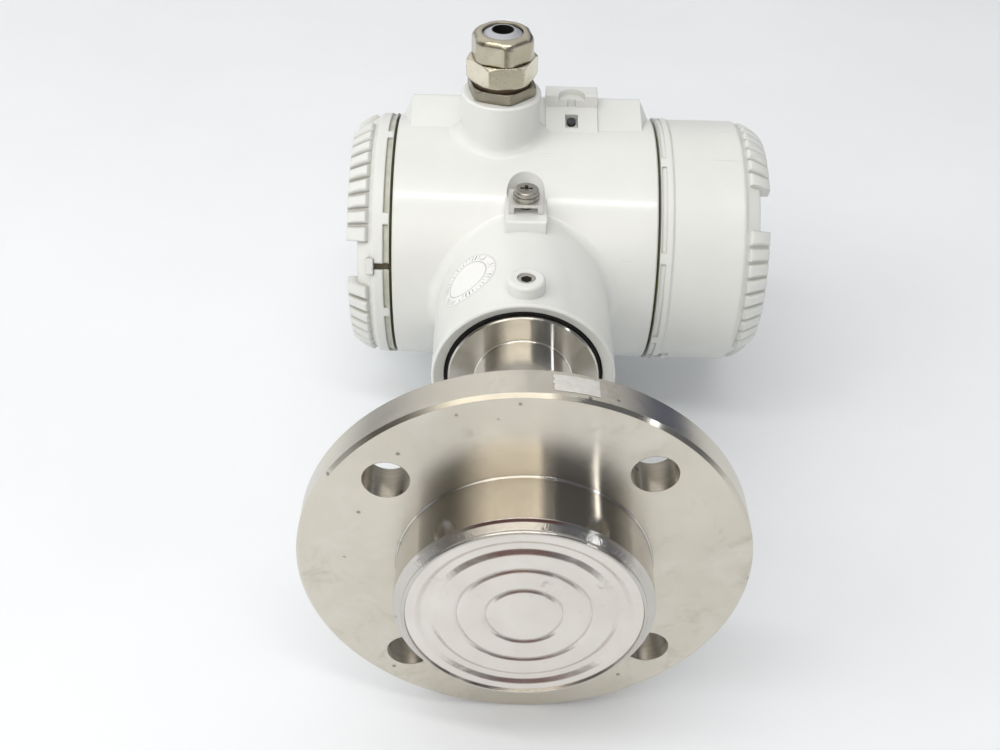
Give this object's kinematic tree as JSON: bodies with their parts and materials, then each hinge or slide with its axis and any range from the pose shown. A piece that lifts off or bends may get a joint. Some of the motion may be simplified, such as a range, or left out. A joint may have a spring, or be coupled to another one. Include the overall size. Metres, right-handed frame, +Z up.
{
  "type": "pressure transmitter",
  "caption": "Flanged pressure transmitter with an extended corrugated diaphragm, a stem and a grey-white barrel housing with ribbed screw covers and a cable gland.",
  "frame": {"origin": "centre of the flange's front face, on the process axis", "axes": "-Y out of the flange towards the process, +X along the barrel towards the display cover, +Z up through the cable gland"},
  "size_m": [0.165, 0.2571, 0.1618],
  "materials": {
    "stainless_turned": "satin",
    "diaphragm_foil": "satin",
    "housing_paint": "satin",
    "seal_rubber": "matte",
    "fastener_steel": "satin",
    "recess_screw_dark": "satin",
    "gland_nickel": "satin",
    "insert_plastic": "matte",
    "terminal_plastic": "matte",
    "electronics_plastic": "matte",
    "display_face": "gloss",
    "window_glass": "gloss"
  },
  "bodies": {
    "process_connection": {"process_flange": "stainless_turned", "extension_body": "stainless_turned", "isolating_diaphragm": "diaphragm_foil", "sensor_body": "stainless_turned", "sensor_capsule": "terminal_plastic", "capillary_tube": "stainless_turned", "neck_seal": "seal_rubber"},
    "housing": {"housing": "housing_paint", "rotation_screw": "fastener_steel", "cover_lock_pins": "fastener_steel", "recess_screw": "recess_screw_dark", "ground_clamp": "fastener_steel", "ground_washer": "fastener_steel", "ground_screw": "fastener_steel", "gland_locknut": "gland_nickel", "gland_washer": "seal_rubber", "gland_body": "gland_nickel", "gland_seal": "seal_rubber", "entry_plug": "gland_nickel", "terminal_block": "terminal_plastic", "terminal_screws": "fastener_steel", "feedthrough": "terminal_plastic", "module_standoffs": "fastener_steel", "electronics_module": "electronics_plastic", "display_standoffs": "fastener_steel", "display_module": "electronics_plastic", "display_panel": "display_face"},
    "terminal_cover_seal": {"terminal_cover_seal": "seal_rubber"},
    "terminal_cover": {"terminal_cover": "housing_paint"},
    "display_cover_seal": {"display_cover_seal": "seal_rubber"},
    "display_cover": {"display_cover": "housing_paint", "display_window": "window_glass", "window_gasket": "seal_rubber", "window_ring": "fastener_steel"},
    "gland_insert": {"gland_insert": "insert_plastic"},
    "gland_nut": {"gland_nut": "gland_nickel"}
  },
  "joints": [
    {"name": "housing_swivel", "type": "hinge", "parent": "process_connection", "child": "housing", "pos_m": [0, 0.105, 0], "axis": [0, 1, 0], "range_deg": [-180, 180]},
    {"name": "terminal_cover_travel", "type": "slide", "parent": "housing", "child": "terminal_cover_seal", "axis": [-1, 0, 0], "range_m": [0, 0.006]},
    {"name": "terminal_cover_turn", "type": "hinge", "parent": "terminal_cover_seal", "child": "terminal_cover", "pos_m": [-0.052, 0.1855, 0], "axis": [-1, 0, 0], "range_deg": [0, 1080]},
    {"name": "display_cover_travel", "type": "slide", "parent": "housing", "child": "display_cover_seal", "axis": [1, 0, 0], "range_m": [0, 0.006]},
    {"name": "display_cover_turn", "type": "hinge", "parent": "display_cover_seal", "child": "display_cover", "pos_m": [0.052, 0.1855, 0], "axis": [1, 0, 0], "range_deg": [0, 1080]},
    {"name": "gland_insert_travel", "type": "slide", "parent": "housing", "child": "gland_insert", "axis": [0, 0, 1], "range_m": [0, 0.003]},
    {"name": "gland_nut_turn", "type": "hinge", "parent": "gland_insert", "child": "gland_nut", "pos_m": [-0.0102, 0.1855, 0.085], "axis": [0, 0, 1], "range_deg": [0, 720]}
  ],
  "couplings": [
    {"joint": "terminal_cover_travel", "follows": "terminal_cover_turn", "m_per_rad": 0.00031831},
    {"joint": "display_cover_travel", "follows": "display_cover_turn", "m_per_rad": 0.00031831},
    {"joint": "gland_insert_travel", "follows": "gland_nut_turn", "m_per_rad": 0.00023873}
  ]
}
